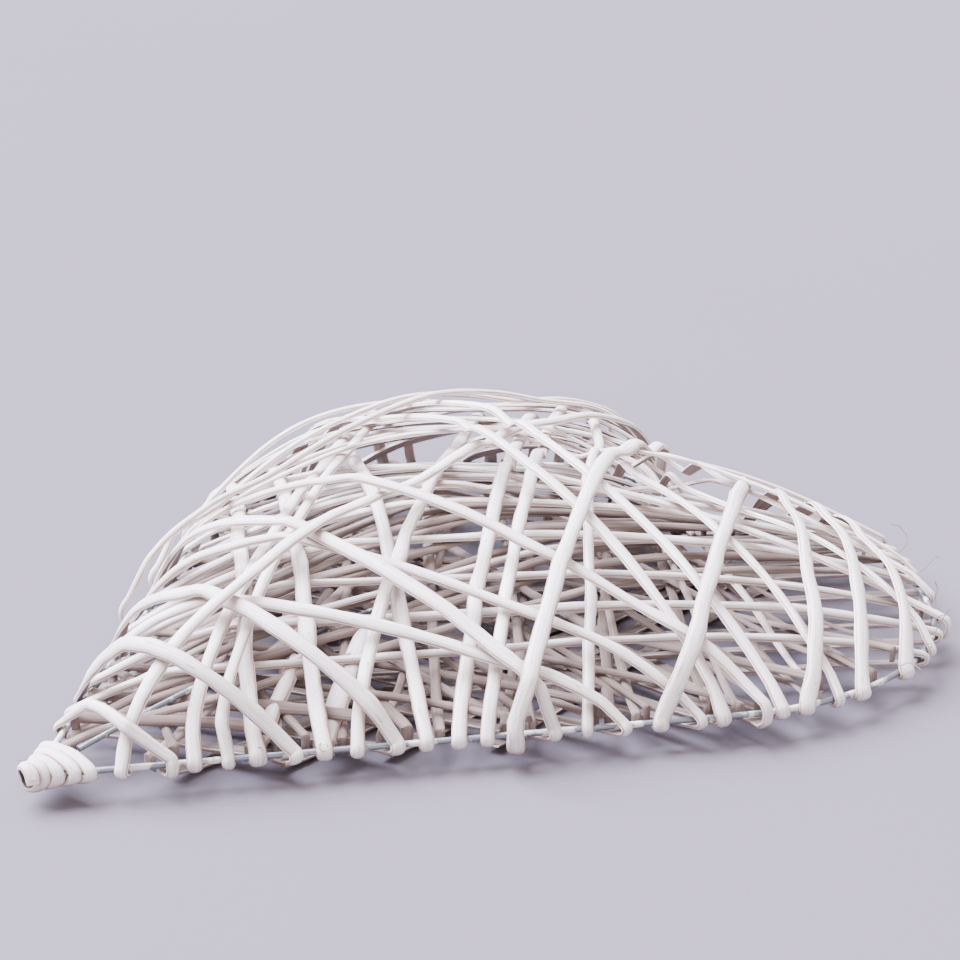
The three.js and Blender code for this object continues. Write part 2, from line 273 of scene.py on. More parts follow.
def foot_cells(point, heading, half_width):
    """Grid cells that a cane covers at one place along it."""
    across = np.arange(-half_width, half_width + 1e-9, CELL / 2)
    column = np.floor((point[0] - heading[1] * across) / CELL + 0.5).astype(int)
    row = np.floor((point[1] + heading[0] * across) / CELL + 0.5).astype(int)
    return set(zip(column.tolist(), row.tolist()))


def needs_under(face, run):
    """How high the canes already laid stand under each place of a run."""
    half = CANE_WIDTH / 2 + FOOT_MARGIN
    return np.array([
        max(face["laid"].get(cell, 0) for cell in foot_cells(point, heading, half))
        for point, heading in zip(run["points"], run["heading"])
    ])


def seat_on(face, points, lift):
    centre = np.column_stack((points, face["height"](points)))
    return centre + face["outward"](points) * (SEAT + lift)[:, None]


def lift_pass(face, run, needs):
    """Lift a run over what it has to clear, as the highest of all the springy arches."""
    base = face["height"](run["points"])
    height = base + needs
    at = run["at"]
    step = at[:, None] - at[None, :]
    to_end = np.where(step < 0, at[None, :], run["length"] - at[None, :])
    part = np.abs(step) / np.maximum(to_end, SAMPLE_STEP)
    fall = height[None, :] * ((1 - STIFFNESS) * part + STIFFNESS * part ** 2)
    run["lift"] = np.maximum(0, (height[None, :] - fall - base[:, None]).max(axis=1))


def record_pass(face, run):
    """Note in the grid how high a cane's top stands once it is laid."""
    centre = seat_on(face, run["points"], run["lift"])
    along = np.gradient(centre, axis=0)
    along /= np.linalg.norm(along, axis=1)[:, None]
    rise = (along * face["outward"](run["points"])).sum(axis=1)
    top = run["lift"] + CANE_THICKNESS / np.sqrt(1 - rise ** 2) + LAY_GAP
    for point, heading, height in zip(run["points"], run["heading"], top):
        for cell in foot_cells(point, heading, CANE_WIDTH / 2):
            face["laid"][cell] = max(face["laid"].get(cell, 0), height)


def wind_canes():
    canes = []
    for group, stations in WINDING.items():
        for start, end, *back_end in stations:
            front = plan_pass(start, end)
            lift_pass(FRONT, front, needs_under(FRONT, front))
            record_pass(FRONT, front)
            back = plan_pass(end, back_end[0]) if back_end else None
            canes.append({"group": group, "front": front, "back": back})
    for group in WINDING:
        backs = [cane["back"] for cane in canes if cane["group"] == group and cane["back"]]
        needs = [needs_under(BACK, back) for back in backs]
        level = max((need.max() for need in needs), default=0)
        for back, need in zip(backs, needs):
            to_end = np.minimum(back["at"], back["length"] - back["at"])
            lift_pass(BACK, back, np.where(to_end >= BACK_RAMP, level, need))
            record_pass(BACK, back)
    return canes


canes = wind_canes()
print("highest lift:", round(max(cane["front"]["lift"].max() for cane in canes), 2), "mm")

# %% [markdown]
# ## From a plan to a path in space
#
# A path is a row of stations: a centre, and the direction the cane's rounded face looks. Round the wire the
# stations follow a small ellipse, from the dome's slope to a hook under the wire or on to the back.
# The lift is smoothed a little first, because a real cane never bends at a point.

# %% Paths
WRAP_STEPS = 9
SMOOTHING = 7
TURN_ROOM = 3 * SAMPLE_STEP


def smooth(values):
    padded = np.concatenate((np.full(SMOOTHING, values[0]), values, np.full(SMOOTHING, values[-1])))
    window = np.hanning(2 * SMOOTHING + 3)[1:-1]
    soft = np.convolve(padded, window / window.sum(), mode="valid")
    ends = np.minimum(np.arange(len(values)), np.arange(len(values))[::-1]) / SMOOTHING
    return values + (soft - values) * np.minimum(ends, 1)


def rim_turn(rim, heading, front_lift, back_lift, end_angle):
    """Stations of a cane's turn round the rim wire, from the dome's slope to a given angle."""
    point, outward = rim
    lean = dome_outward(point[None, :])[0]
    start_angle = math.atan2(lean[2], math.hypot(lean[0], lean[1]))
    across = abs(float(heading @ outward))
    skew = math.sqrt(1 - across * across) / across
    reach = WIRE_CLEARANCE / across + CANE_WIDTH / 2 * skew + CANE_THICKNESS / 2
    centres, normals = [], []
    for part in np.linspace(0, 1, WRAP_STEPS):
        angle = start_angle + (end_angle - start_angle) * part
        lift = front_lift + (back_lift - front_lift) * part
        out, up = math.cos(angle), math.sin(angle)
        centres.append((*(point + heading * (reach + lift) * out), (SEAT + lift) * up))
        normals.append((*(heading * out), up))
    return np.array(centres), np.array(normals)


def inner_run(face, run, last):
    """Stations of a run away from its two rim turns."""
    keep = (run["at"] > TURN_ROOM) & (run["at"] <= last)
    points = run["points"][keep]
    return seat_on(face, points, smooth(run["lift"])[keep]), face["outward"](points)


def cane_path(cane):
    """Centres and outward directions along a whole cane, from its first hook to its end."""
    front, back = cane["front"], cane["back"]
    hook = rim_turn(front["from"], -front["leave"], front["lift"][0], 0, HOOK_END)
    parts = [(hook[0][::-1], hook[1][::-1]), inner_run(FRONT, front, front["length"] - TURN_ROOM)]
    if back is None:
        parts.append(rim_turn(front["to"], front["arrive"], front["lift"][-1], 0, HOOK_END))
    else:
        parts.append(rim_turn(front["to"], front["arrive"], front["lift"][-1], back["lift"][0], WRAP_END))
        parts.append(inner_run(BACK, back, back["length"] - BACK_END_SHORT))
    return np.vstack([part[0] for part in parts]), np.vstack([part[1] for part in parts])


paths = [cane_path(cane) for cane in canes]
print("stations of the first cane:", len(paths[0][0]))

# %% [markdown]
# ## One straight cane
#
# A willow rod split along its length has a rounded outer face with the bark side up and a flat inner
# face. It is modelled once, straight, by hand: a cube stretched to the cane's size, its two upper long
# edges bevelled so far that they almost meet and its lower ones just broken, then cut across into many
# short lengths so that it can bend.

# %% Straight cane blank
BLANK_LENGTH = 300
BLANK_CUTS = 150
BLANK_THICKNESS = 2.3
ROUND_OFFSET = 2.15
ROUND_SEGMENTS = 6
EDGE_BREAK = 0.25


def pick_edges(mesh, test):
    """Select the edges whose two ends pass a test, with nothing else selected."""
    bpy.ops.object.mode_set(mode="EDIT")
    bpy.ops.mesh.select_all(action="DESELECT")
    bpy.ops.object.mode_set(mode="OBJECT")
    for edge in mesh.edges:
        a, b = (mesh.vertices[i].co for i in edge.vertices)
        edge.select = test(a, b)
    bpy.ops.object.mode_set(mode="EDIT")
    bpy.ops.mesh.select_mode(type="EDGE")


def lengthwise(a, b):
    return abs(a.y - b.y) > BLANK_LENGTH / 2


bpy.ops.object.select_all(action="DESELECT")
bpy.ops.mesh.primitive_cube_add(size=1)
blank = bpy.context.object
blank.name = "straight_cane"
blank.scale = (CANE_WIDTH, BLANK_LENGTH, BLANK_THICKNESS)
bpy.ops.object.transform_apply(location=False, rotation=False, scale=True)
pick_edges(blank.data, lambda a, b: lengthwise(a, b) and a.z > 0)
bpy.ops.mesh.bevel(offset=ROUND_OFFSET, segments=ROUND_SEGMENTS, profile=0.5, affect="EDGES")
pick_edges(blank.data, lambda a, b: lengthwise(a, b) and a.z < -BLANK_THICKNESS * 0.45)
bpy.ops.mesh.bevel(offset=EDGE_BREAK, segments=1, affect="EDGES")
pick_edges(blank.data, lengthwise)
bpy.ops.mesh.subdivide(number_cuts=BLANK_CUTS)
bpy.ops.object.mode_set(mode="OBJECT")
print("straight cane:", len(blank.data.vertices), "points,", len(blank.data.polygons), "faces")

# %% [markdown]
# ## Paint, bare wood and wire
#
# Colours are given as sRGB hex values, as a colour picker shows them, and one function turns them to the
# linear values that shaders use. One small function adds a node, sets its values and links its inputs.

# %% Colour and node helpers
def colour(code):
    """#rrggbb to linear red, green, blue, alpha."""
    parts = [int(code[i:i + 2], 16) / 255 for i in (1, 3, 5)]
    linear = [c / 12.92 if c <= 0.04045 else ((c + 0.055) / 1.055) ** 2.4 for c in parts]
    return (*linear, 1.0)


def add_node(material, kind, inputs=None, **settings):
    """Add a node, set its properties, and link or set its inputs by name or number."""
    tree = material.node_tree
    node = tree.nodes.new(kind)
    for name, value in settings.items():
        setattr(node, name, value)
    for key, value in (inputs or {}).items():
        if isinstance(value, bpy.types.NodeSocket):
            tree.links.new(value, node.inputs[key])
        else:
            node.inputs[key].default_value = value
    return node


def new_material(name):
    material = bpy.data.materials.new(name)
    material.use_nodes = True
    shader = material.node_tree.nodes["Principled BSDF"]
    return material, shader


def ramp(material, factor, low, high, dark=(0, 0, 0, 1), light=(1, 1, 1, 1)):
    """A colour ramp between two places, from one colour to another."""
    node = add_node(material, "ShaderNodeValToRGB", {"Fac": factor})
    node.color_ramp.elements[0].position = low
    node.color_ramp.elements[1].position = high
    node.color_ramp.elements[0].color = dark
    node.color_ramp.elements[1].color = light
    return node.outputs["Color"]


print("white paint in linear light:", [round(c, 3) for c in colour("#eeecea")[:3]])

# %% [markdown]
# ### White paint on the outer face
#
# Spray paint on willow is satin and thin. The wood's long fibres show through it as faint streaks, one cane
# took more of it than the next, thin places and small specks stay darker, and the shoulders along both
# sides are rubbed back to the pinkish tan of the wood. Where canes lie close together a tan painted shade
# is laid on, for the shade between them as well as for paint the spray missed there. The UV map runs along
# the cane and round its section from the middle of the crown, both in metres, so streaks can be drawn long
# and narrow and wear kept to the edges.

# %% White painted willow
STREAK_WIDTH_MM = 0.5
STREAK_LENGTH_MM = 45
COAT_LENGTH_MM = 700
SPECK_MM = (4.5, 1.5)
WEAR_WIDTH_MM = 0.6
WEAR_LENGTH_MM = 9
THIN_COAT_MM = (28, 3.5)
ARRIS_MM = 3.6
ARRIS_BAND_MM = 1.2
SHELTER_SHADE_MM = 9
GRAIN_DEPTH_MM = 0.22

painted, shader = new_material("white_painted_willow")
uv = add_node(painted, "ShaderNodeTexCoord").outputs["UV"]
streak_place = add_node(painted, "ShaderNodeMapping", {
    "Vector": uv, "Scale": (1 / (STREAK_LENGTH_MM * MM), 1 / (STREAK_WIDTH_MM * MM), 1),
}).outputs["Vector"]
streaks = add_node(painted, "ShaderNodeTexNoise", {
    "Vector": streak_place, "Scale": 1.0, "Detail": 5.0, "Roughness": 0.65,
}).outputs["Fac"]
coat_place = add_node(painted, "ShaderNodeMapping", {
    "Vector": uv, "Scale": (1 / (COAT_LENGTH_MM * MM), 0, 1),
}).outputs["Vector"]
coat = add_node(painted, "ShaderNodeTexNoise", {
    "Vector": coat_place, "Scale": 1.0, "Detail": 3.0, "Roughness": 0.6,
}).outputs["Fac"]
speck_place = add_node(painted, "ShaderNodeMapping", {
    "Vector": uv, "Scale": (1 / (SPECK_MM[0] * MM), 1 / (SPECK_MM[1] * MM), 1),
}).outputs["Vector"]
specks = add_node(painted, "ShaderNodeTexNoise", {
    "Vector": speck_place, "Scale": 1.0, "Detail": 2.0, "Roughness": 0.5,
}).outputs["Fac"]
wear_place = add_node(painted, "ShaderNodeMapping", {
    "Vector": uv, "Scale": (1 / (WEAR_LENGTH_MM * MM), 1 / (WEAR_WIDTH_MM * MM), 1),
}).outputs["Vector"]
wear = add_node(painted, "ShaderNodeTexNoise", {
    "Vector": wear_place, "Scale": 1.0, "Detail": 4.0, "Roughness": 0.6,
}).outputs["Fac"]
thin_place = add_node(painted, "ShaderNodeMapping", {
    "Vector": uv, "Scale": (1 / (THIN_COAT_MM[0] * MM), 1 / (THIN_COAT_MM[1] * MM), 1),
}).outputs["Vector"]
thin = add_node(painted, "ShaderNodeTexNoise", {
    "Vector": thin_place, "Scale": 1.0, "Detail": 6.0, "Roughness": 0.7,
}).outputs["Fac"]
round_section = add_node(painted, "ShaderNodeSeparateXYZ", {"Vector": uv}).outputs["Y"]
from_crown = add_node(painted, "ShaderNodeMath", {0: round_section}, operation="ABSOLUTE").outputs[0]
past_arris = add_node(painted, "ShaderNodeMath", {
    0: from_crown, 1: ARRIS_MM * MM,
}, operation="SUBTRACT").outputs[0]
from_arris = add_node(painted, "ShaderNodeMath", {0: past_arris}, operation="ABSOLUTE").outputs[0]
arris = add_node(painted, "ShaderNodeMapRange", {
    "Value": from_arris, "From Min": 0.0, "From Max": ARRIS_BAND_MM * MM, "To Min": 1.0, "To Max": 0.0,
}).outputs["Result"]
worn = add_node(painted, "ShaderNodeMath", {0: arris, 1: wear}, operation="MULTIPLY").outputs[0]
worn_share = ramp(painted, worn, 0.28, 0.44, light=(0.95, 0.95, 0.95, 1))
coat_tint = ramp(painted, coat, 0.35, 0.65, colour("#e0d9d9"), colour("#ffffff"))
streaked = ramp(painted, streaks, 0.28, 0.58, colour("#c3bab9"), colour("#f5f3f6"))
thin_share = ramp(painted, thin, 0.50, 0.72, light=(0.55, 0.55, 0.55, 1))
thinned = add_node(painted, "ShaderNodeMix", {
    "Factor": thin_share, "A": streaked, "B": colour("#b9aca6"),
}, data_type="RGBA").outputs["Result"]
paint = add_node(painted, "ShaderNodeMix", {
    "Factor": 1.0, "A": thinned, "B": coat_tint,
}, data_type="RGBA", blend_type="MULTIPLY").outputs["Result"]
speck_share = ramp(painted, specks, 0.66, 0.73, light=(0.7, 0.7, 0.7, 1))
specked = add_node(painted, "ShaderNodeMix", {
    "Factor": speck_share, "A": paint, "B": colour("#937f72"),
}, data_type="RGBA").outputs["Result"]
rubbed = add_node(painted, "ShaderNodeMix", {
    "Factor": worn_share, "A": specked, "B": colour("#a07d6a"),
}, data_type="RGBA").outputs["Result"]
# Painted shade: tan is mixed in where other canes come close, darkest at crossings, for the shade between
# canes as well as for paint the spray missed there.
openness = add_node(painted, "ShaderNodeAmbientOcclusion", {
    "Distance": SHELTER_SHADE_MM * MM,
}, samples=8).outputs["AO"]
missed_paint_and_shade_share = ramp(painted, openness, 0.4, 0.95, (0.9, 0.9, 0.9, 1), (0, 0, 0, 1))
paint_and_shade_colour = add_node(painted, "ShaderNodeMix", {
    "Factor": missed_paint_and_shade_share, "A": rubbed, "B": colour("#a58a7f"),
}, data_type="RGBA").outputs["Result"]
painted.node_tree.links.new(paint_and_shade_colour, shader.inputs["Base Color"])
gloss = add_node(painted, "ShaderNodeMapRange", {
    "Value": streaks, "To Min": 0.62, "To Max": 0.40,
}).outputs["Result"]
painted.node_tree.links.new(gloss, shader.inputs["Roughness"])
grain = add_node(painted, "ShaderNodeMath", {0: streaks, 1: thin}, operation="ADD").outputs[0]
bump = add_node(painted, "ShaderNodeBump", {
    "Height": grain, "Strength": 0.3, "Distance": GRAIN_DEPTH_MM * MM,
}).outputs["Normal"]
painted.node_tree.links.new(bump, shader.inputs["Normal"])
shader.inputs["IOR"].default_value = 1.47
print("nodes in the paint:", len(painted.node_tree.nodes))

# %% [markdown]
# ### The split inner face
#
# The inner face was torn rather than cut, so it is fibrous. The spray reached it only in part: it is a
# greyish beige with paler and darker fibres running along the cane. Canes deep inside the heart saw hardly
# any paint and are nearer to the brown of bare willow, so the same function makes both. Both are given
# darker than the wood itself, as painted shade for faces that lie inside the heart and under other canes.

# %% Split willow, thinly painted
FIBRE_WIDTH_MM = 0.9
FIBRE_LENGTH_MM = 35
FIBRE_DEPTH_MM = 0.4


def fibrous(name, dark, pale):
    """Torn willow fibres along a cane, between two colours."""
    material, shader = new_material(name)
    uv = add_node(material, "ShaderNodeTexCoord").outputs["UV"]
    fibre_place = add_node(material, "ShaderNodeMapping", {
        "Vector": uv, "Scale": (1 / (FIBRE_LENGTH_MM * MM), 1 / (FIBRE_WIDTH_MM * MM), 1),
    }).outputs["Vector"]
    fibres = add_node(material, "ShaderNodeTexNoise", {
        "Vector": fibre_place, "Scale": 1.0, "Detail": 5.0, "Roughness": 0.65,
    }).outputs["Fac"]
    fibre_colour = ramp(material, fibres, 0.30, 0.68, colour(dark), colour(pale))
    material.node_tree.links.new(fibre_colour, shader.inputs["Base Color"])
    fibre_bump = add_node(material, "ShaderNodeBump", {
        "Height": fibres, "Strength": 0.6, "Distance": FIBRE_DEPTH_MM * MM,
    }).outputs["Normal"]
    material.node_tree.links.new(fibre_bump, shader.inputs["Normal"])
    shader.inputs["Roughness"].default_value = 0.8
    shader.inputs["IOR"].default_value = 1.45
    return material


# Painted shade: both fibrous colours are darker than the wood, for the shade inside the heart.
split = fibrous("split_willow_thin_paint_and_shade", "#6c5c57", "#9d8f8a")
bare_willow_and_shade = fibrous("bare_willow_and_shade", "#5a4a45", "#83736d")
print("nodes in the split face:", len(split.node_tree.nodes))

# %% [markdown]
# ### Galvanised wire
#
# Zinc on steel is a dull blue-grey metal. The same spray left patches of white on it.

# %% Galvanised wire
PATCH_MM = 7
PATCH_DEPTH_MM = 0.2

galvanised, shader = new_material("galvanised_wire")
here = add_node(galvanised, "ShaderNodeTexCoord").outputs["Object"]
patches = add_node(galvanised, "ShaderNodeTexNoise", {
    "Vector": here, "Scale": 1 / (PATCH_MM * MM), "Detail": 4.0, "Roughness": 0.6,
}).outputs["Fac"]
painted_share = ramp(galvanised, patches, 0.50, 0.58)
wire_colour = add_node(galvanised, "ShaderNodeMix", {
    "Factor": painted_share, "A": colour("#878c95"), "B": colour("#dddbda"),
}, data_type="RGBA").outputs["Result"]
galvanised.node_tree.links.new(wire_colour, shader.inputs["Base Color"])
bare_share = add_node(galvanised, "ShaderNodeMath", {0: 0.9, 1: painted_share}, operation="SUBTRACT")
bare_share.use_clamp = True
galvanised.node_tree.links.new(bare_share.outputs[0], shader.inputs["Metallic"])
wire_bump = add_node(galvanised, "ShaderNodeBump", {
    "Height": patches, "Strength": 0.3, "Distance": PATCH_DEPTH_MM * MM,
}).outputs["Normal"]
galvanised.node_tree.links.new(wire_bump, shader.inputs["Normal"])
shader.inputs["Roughness"].default_value = 0.48
print("nodes in the wire:", len(galvanised.node_tree.nodes))

# %% [markdown]
# ### Finishes on the straight cane
#
# The blank gets its finishes before it is copied: paint all over, and the split finish on its flat face.
# Bare willow waits in a third slot for the canes that the spray hardly reached. The split and bare colours
# are both darkened as painted shade.

# %% Finishes on the blank
PAINTED_SLOT, SPLIT_SLOT, BARE_SLOT = 0, 1, 2
blank.data.materials.append(painted)
blank.data.materials.append(split)
blank.data.materials.append(bare_willow_and_shade)
for face in blank.data.polygons:
    face.material_index = SPLIT_SLOT if face.normal.z < -0.9 else PAINTED_SLOT
print("split faces:", sum(face.material_index for face in blank.data.polygons))

# %% [markdown]
# ## Bending the cane to its path
#
# Each cane is a copy of the blank with its own mesh. A point of the blank keeps its place across the cane
# and through it, and its place along the blank becomes a place along the path. Cuts are crowded where
# the path turns tightly, so the turns round the wire stay smooth. No two real canes are alike, so each
# one also gets its own slow change of width, uneven edges, knots, a slight roll, and ends that aren't cut
# quite square.

# %% Bending function
STRAIGHT_SPACING = 5.0
TURN_SPACING = 0.9
END_FRAY = 0.8
EDGE_UNEVEN = 0.1
KNOT_SPACING = (50, 130)
KNOT_FROM_END = 35
KNOT_LENGTH = 4
KNOT_SWELL = 0.1
KNOT_KINK = 0.9
FINE_STEP = 0.5
TURN_PER_CUT = 0.35
BEND_WINDOW = 9
WAVE_SHARES = (0.5, 0.3, 0.2)
WAVE_SHORTENING = 2.2
ROLL_LENGTH = 160
WIDTH_WAVE, WIDTH_LENGTH = 0.09, 90
THICKNESS_WAVE, THICKNESS_LENGTH = 0.06, 70
EDGE_LENGTH = 24
GRAIN_STARTS = 20
rings = np.linspace(0, 1, BLANK_CUTS + 2)
blank_points = np.array([v.co for v in blank.data.vertices])
blank_ring = np.rint((blank_points[:, 1] / BLANK_LENGTH + 0.5) * (BLANK_CUTS + 1)).astype(int)
loop_points = np.array([loop.vertex_index for loop in blank.data.loops])
blank_drop = blank_points[:, 2].max() - blank_points[:, 2]
blank_girth = np.sign(blank_points[:, 0]) * (np.abs(blank_points[:, 0]) + blank_drop)


def path_rings(centres, normals):
    """Resample a path at the blank's cuts, closer together where it bends."""
    step = np.linalg.norm(np.diff(centres, axis=0), axis=1)
    keep = np.concatenate(([True], step > 1e-6))
    centres, normals = centres[keep], normals[keep]
    at = np.concatenate(([0], np.cumsum(np.linalg.norm(np.diff(centres, axis=0), axis=1))))
    fine = np.arange(0, at[-1], FINE_STEP)
    fine_c = np.column_stack([np.interp(fine, at, centres[:, i]) for i in range(3)])
    fine_n = np.column_stack([np.interp(fine, at, normals[:, i]) for i in range(3)])
    along = np.gradient(fine_c, axis=0)
    along /= np.linalg.norm(along, axis=1)[:, None]
    bend = np.linalg.norm(np.gradient(along, axis=0), axis=1) / FINE_STEP
    padded = np.pad(bend, BEND_WINDOW // 2, mode="edge")
    bend = np.convolve(padded, np.ones(BEND_WINDOW) / BEND_WINDOW, mode="valid")
    spacing = np.clip(TURN_PER_CUT / np.maximum(bend, 1e-6), TURN_SPACING, STRAIGHT_SPACING)
    count = np.cumsum(1 / spacing)
    count = (count - count[0]) / (count[-1] - count[0])
    where = np.interp(rings, count, fine)
    ring_c = np.column_stack([np.interp(where, fine, fine_c[:, i]) for i in range(3)])
    ring_n = np.column_stack([np.interp(where, fine, fine_n[:, i]) for i in range(3)])
    ring_t = np.column_stack([np.interp(where, fine, along[:, i]) for i in range(3)])
    ring_t /= np.linalg.norm(ring_t, axis=1)[:, None]
    ring_n -= ring_t * (ring_n * ring_t).sum(axis=1)[:, None]
    ring_n /= np.linalg.norm(ring_n, axis=1)[:, None]
    return where, ring_c, ring_n, ring_t


def slow_wave(draw, where, size, length):
    """A sum of three slow waves along the cane, up to a given size."""
    total = np.zeros(len(where))
    for share in WAVE_SHARES:
        wave_length = length * draw.uniform(0.6, 1.6)
        total += share * np.sin(2 * math.pi * where / wave_length + draw.uniform(0, 6.28))
        length /= WAVE_SHORTENING
    return size * total


def knot_places(draw, length):
    """Places of the knots along a cane, away from its two ends."""
    places = []
    at = KNOT_FROM_END + draw.uniform(0, KNOT_SPACING[0])
    while at < length - KNOT_FROM_END:
        places.append(at)
        at += draw.uniform(*KNOT_SPACING)
    return places


def bend_cane(name, path, draw, width=1.0, thickness=1.0, roll=9.0, finish=None, fray=END_FRAY):
    """A copy of the blank bent along a path, with widths as shares of the blank and its roll in degrees."""
    where, centre, normal, tangent = path_rings(*path)
    roll_wave = np.radians(slow_wave(draw, where, roll, ROLL_LENGTH))
    side = np.cross(normal, tangent)
    turned_n = normal * np.cos(roll_wave)[:, None] + side * np.sin(roll_wave)[:, None]
    turned_s = np.cross(turned_n, tangent)
    wide = width * (1 + slow_wave(draw, where, WIDTH_WAVE, WIDTH_LENGTH))
    thick = thickness * (1 + slow_wave(draw, where, THICKNESS_WAVE, THICKNESS_LENGTH))
    for knot in knot_places(draw, where[-1]):
        swell = np.exp(-((where - knot) / KNOT_LENGTH) ** 2)
        kink = np.exp(-((where - knot) / (3 * KNOT_LENGTH)) ** 2) * draw.uniform(-KNOT_KINK, KNOT_KINK)
        wide = wide * (1 + KNOT_SWELL * swell)
        thick = thick * (1 + KNOT_SWELL * swell)
        centre = centre + turned_s * kink[:, None]
    left = wide * (1 + slow_wave(draw, where, EDGE_UNEVEN, EDGE_LENGTH))
    right = wide * (1 + slow_wave(draw, where, EDGE_UNEVEN, EDGE_LENGTH))
    k = blank_ring
    across = blank_points[:, 0] * np.where(blank_points[:, 0] < 0, left[k], right[k])
    through = blank_points[:, 2] * thick[k]
    points = centre[k] + turned_s[k] * across[:, None] + turned_n[k] * through[:, None]
    ragged = np.array([draw.uniform(-END_FRAY, END_FRAY) for _ in across])
    torn = np.array([draw.uniform(-fray, fray) for _ in across])
    points[k == 0] += tangent[0] * ragged[k == 0][:, None]
    points[k == BLANK_CUTS + 1] += tangent[-1] * torn[k == BLANK_CUTS + 1][:, None]
    points[:, 2] = np.maximum(points[:, 2], -shift[2])
    piece = blank.copy()
    piece.data = blank.data.copy()
    piece.name = name
    piece.data.name = name
    bpy.context.scene.collection.objects.link(piece)
    piece.data.vertices.foreach_set("co", place(points).astype(np.float32).ravel())
    grain = piece.data.uv_layers.active or piece.data.uv_layers.new(name="along_cane")
    start = draw.uniform(0, GRAIN_STARTS)
    uv = np.column_stack((where[k] * MM + start, blank_girth * MM))[loop_points]
    grain.data.foreach_set("uv", uv.astype(np.float32).ravel())
    if finish is not None:
        piece.data.polygons.foreach_set("material_index", np.full(len(piece.data.polygons), finish))
    piece.data.update()
    return piece


print("cuts in each cane:", len(rings))

# %% [markdown]
# ## Winding the heart
#
# Now every cane of the list is bent to its path and stands for its solid in the frame.

# %% Canes
WIDTH_SHARES = {"long": 0.6, "cross": 0.74, "upright": 0.84, "ridge": 0.62, "rising": 0.76, "falling": 0.8,
                "steep": 0.94, "outer": 0.62}
WIDTH_SPREAD = 0.12
VISUAL_THICKNESS = 0.7
FIRST_SEED = 100
names = [f"cane_{cane['group']}_{i + 1:02d}" for i, cane in enumerate(canes)]
wound = []
for i, (cane, name, path) in enumerate(zip(canes, names, paths)):
    draw = random.Random(FIRST_SEED + i)
    width = WIDTH_SHARES[cane["group"]] + draw.uniform(-WIDTH_SPREAD, WIDTH_SPREAD)
    piece = bend_cane(f"wound_{name}", path, draw, width=width, thickness=VISUAL_THICKNESS)
    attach(piece, "root")
    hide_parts(name)
    wound.append(piece)
print("canes wound:", len(wound))

# %% [markdown]
# ## Inner canes
#
# The first canes that went on can hardly be told apart: they lie under all the others and fill the gaps.
# They are grouped in families, and each family lies at its own depth under the dome, with every second cane
# a little deeper where neighbours cross. Their ends go down inside the wire, under the outer canes' wraps.

# %% Inner canes
INNER_FAMILIES = {
    "climbing": (2.7, 0.5, [
        (-15, 340), (-22, 378), (-29, 352), (-36, 392), (-46, 366), (-56, 404), (-66, 380), (-77, 414),
        (-87, 394), (-97, 424), (-108, 405), (-118, 434), (-128, 416), (-138, -440), (-148, 428),
        (-158, -428), (-175, -438), (-190, -414), (-210, -424), (-236, -402), (-256, -410),
    ]),
    "leaning": (5.1, 0.5, [
        (29, -392), (65, -255), (83, -275), (110, -300), (136, -322), (166, -344), (195, -366), (222, -388),
    ]),
    "sloping": (7.5, 0.6, [
        (-120, 136), (-146, 156), (-170, 176), (-196, 198), (-222, 222), (-246, 246), (-268, 268),
    ]),
    "scattered": (9.9, 0.9, [
        (34, -284), (57, -312), (93, -334), (128, -354), (158, -376), (187, -398), (217, -418), (246, -436),
    ]),
}
FLOOR_FAMILIES = {
    "floor": (3.4, [
        (38, -70), (74, -115), (102, -165), (136, -205), (170, -247), (203, -290), (240, -330),
    ]),
    "crossed": (5.6, [
        (68, -27), (98, -44), (126, -66), (158, -94), (190, -126), (224, -158), (258, -196), (294, -238),
    ]),
}
INNER_INSET = 3.0
INNER_LOW = 1.6
INNER_THICKNESS = 0.5
STAGGER = 1.3
FLOOR_BARE_SHARE = 0.8
SPLIT_SHARE = 0.75
INNER_WIDTHS = (0.45, 0.75)
FLOOR_WIDTHS = (0.5, 0.8)


def inner_path(start, end, height):
    """A cane inside the heart: a plan like the others, at a height given by a function of its points."""
    run = plan_pass(start, end)
    keep = (run["at"] > INNER_INSET) & (run["at"] < run["length"] - INNER_INSET)
    points = run["points"][keep]
    centres = np.column_stack((points, smooth(height(points))))
    drop = np.array((0, 0, -2 * INNER_LOW - RIM_WIRE_RADIUS))
    centres = np.vstack((centres[0] + drop, centres, centres[-1] + drop))
    normals = dome_outward(centres[:, :2])
    return centres, normals


def inner_finish(draw, bare_share):
    """Bare willow for a given share of the canes, and of the rest some thinly painted and some white; bare
    and thinly painted are darkened as painted shade.
    """
    if draw.random() < bare_share:
        return BARE_SLOT
    return SPLIT_SLOT if draw.random() < SPLIT_SHARE else None


inner = []
for family, (depth, bare_share, stations) in INNER_FAMILIES.items():
    for i, (start, end) in enumerate(stations):
        under = depth + (i % 2 - 0.5) * STAGGER
        path = inner_path(start, end, lambda p: np.maximum(dome_height(p) + SEAT - under, INNER_LOW))
        draw = random.Random(f"{family} {i}")
        piece = bend_cane(f"inner_cane_{family}_{i + 1}", path, draw, width=draw.uniform(*INNER_WIDTHS),
                          thickness=INNER_THICKNESS, finish=inner_finish(draw, bare_share))
        inner.append(piece)
for family, (level, stations) in FLOOR_FAMILIES.items():
    for i, (start, end) in enumerate(stations):
        path = inner_path(start, end, lambda p: np.full(len(p), level))
        draw = random.Random(f"{family} {i}")
        piece = bend_cane(f"inner_cane_{family}_{i + 1}", path, draw, width=draw.uniform(*FLOOR_WIDTHS),
                          thickness=INNER_THICKNESS, finish=inner_finish(draw, FLOOR_BARE_SHARE))
        inner.append(piece)
for piece in inner:
    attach(piece, "root")
print("inner canes:", len(inner))

# %% [markdown]
# ## Thin strips and stubs
#
# A few strips as thin as a shaving fill the top: each is lifted a share of the way over the canes it meets.
# Two thick canes broke off inside the near side. Their feet are still bound to the wire, and their broken
# ends stand up frayed.

